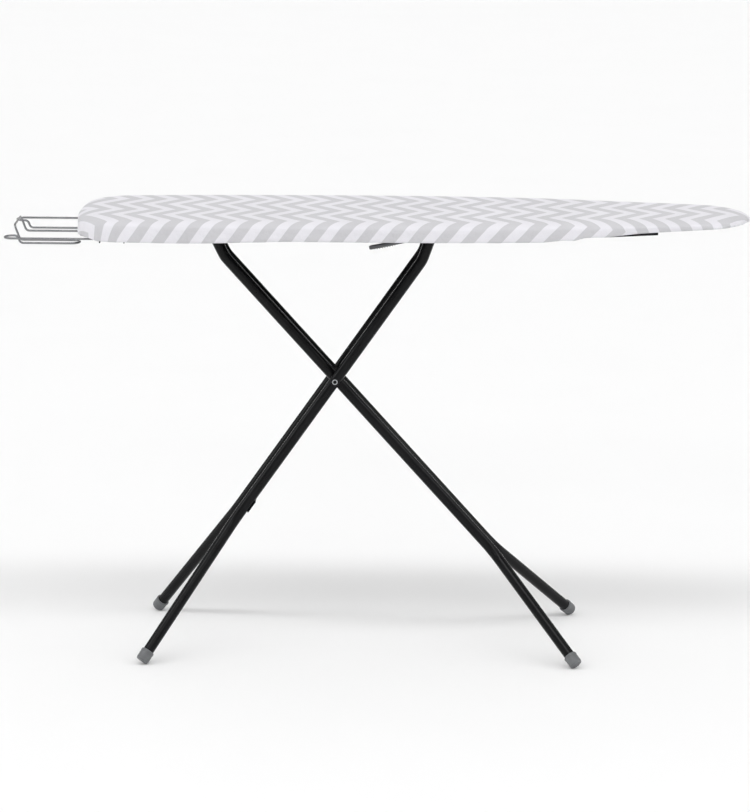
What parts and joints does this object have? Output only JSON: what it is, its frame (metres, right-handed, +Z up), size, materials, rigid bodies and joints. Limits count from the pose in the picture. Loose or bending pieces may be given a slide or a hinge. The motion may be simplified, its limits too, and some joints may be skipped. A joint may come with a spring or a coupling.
{
  "type": "ironing board",
  "caption": "Folding ironing board with a padded fabric-covered top, crossed pairs of steel tube legs with splayed feet, a catch lever and a sliding wire iron rest.",
  "frame": {"origin": "on the floor under the middle of the whole length, iron rest included", "axes": "+X towards the nose of the board, +Z up, the lever is on the -Y side"},
  "size_m": [1.348, 0.3852, 0.816],
  "materials": {
    "cover_fabric": "woven cotton, light grey and white chevrons",
    "pad_felt": "needled felt",
    "frame_paint": "satin black powder coat",
    "leg_paint": "gloss black powder coat",
    "cap_plastic": "moulded grey",
    "black_plastic": "moulded black",
    "grip_plastic": "ribbed, dark grey",
    "zinc_steel": "zinc plated",
    "chrome_wire": "bright chrome"
  },
  "bodies": {
    "board": {"cover": "cover_fabric", "pad": "pad_felt", "mesh_panel": "frame_paint", "rim_frame": "frame_paint", "rail_near": "frame_paint", "rail_far": "frame_paint", "cross_member_heel": "frame_paint", "cross_member_pivot": "frame_paint", "cross_member_middle": "frame_paint", "cross_member_nose": "frame_paint", "pivot_bracket_near": "frame_paint", "pivot_bracket_far": "frame_paint", "pivot_axle": "zinc_steel", "axle_push_nuts": "zinc_steel", "rest_guide_near": "frame_paint", "rest_guide_far": "frame_paint", "guide_rivets": "zinc_steel"},
    "inner_leg": {"inner_tube_near": "leg_paint", "inner_tube_far": "leg_paint", "inner_spreader_plate": "leg_paint", "inner_pivot_spacer": "zinc_steel", "inner_foot_cap_near": "cap_plastic", "inner_foot_cap_far": "cap_plastic", "inner_top_plugs": "black_plastic"},
    "outer_leg": {"outer_tube_near": "leg_paint", "outer_tube_far": "leg_paint", "outer_cross_strip": "leg_paint", "outer_foot_cap_near": "cap_plastic", "outer_foot_cap_far": "cap_plastic", "outer_top_plugs": "black_plastic", "slider_rod": "zinc_steel", "slider_shoe_near": "black_plastic", "slider_shoe_far": "black_plastic", "centre_pivot_pin": "zinc_steel", "pivot_rivet_heads": "zinc_steel", "pivot_washers": "black_plastic"},
    "lever": {"lever_shaft": "zinc_steel", "lever_arm": "frame_paint", "lever_grip": "grip_plastic", "catch_hook_near": "frame_paint", "catch_hook_far": "frame_paint", "shaft_push_nuts": "zinc_steel", "lever_spring": "zinc_steel"},
    "iron_rest": {"iron_rest_wire": "chrome_wire"}
  },
  "joints": [
    {"name": "leg_fold", "type": "hinge", "parent": "board", "child": "inner_leg", "pos_m": [-0.31063, 0, 0.792], "axis": [0, -1, 0], "range_deg": [0, 46]},
    {"name": "leg_cross_pivot", "type": "hinge", "parent": "inner_leg", "child": "outer_leg", "pos_m": [-0.077, 0, 0.5035], "axis": [0, 1, 0], "range_deg": [0, 100]},
    {"name": "catch_lever", "type": "hinge", "parent": "board", "child": "lever", "pos_m": [0.06341, 0, 0.789], "axis": [0, 1, 0], "range_deg": [0, 12], "stiffness_Nm_per_rad": 0.6, "springref_deg": -20.05},
    {"name": "iron_rest_slide", "type": "slide", "parent": "board", "child": "iron_rest", "axis": [1, 0, 0], "range_m": [0, 0.1]}
  ],
  "couplings": [
    {"joint": "leg_cross_pivot", "follows": "leg_fold", "ratio": 2.15}
  ]
}
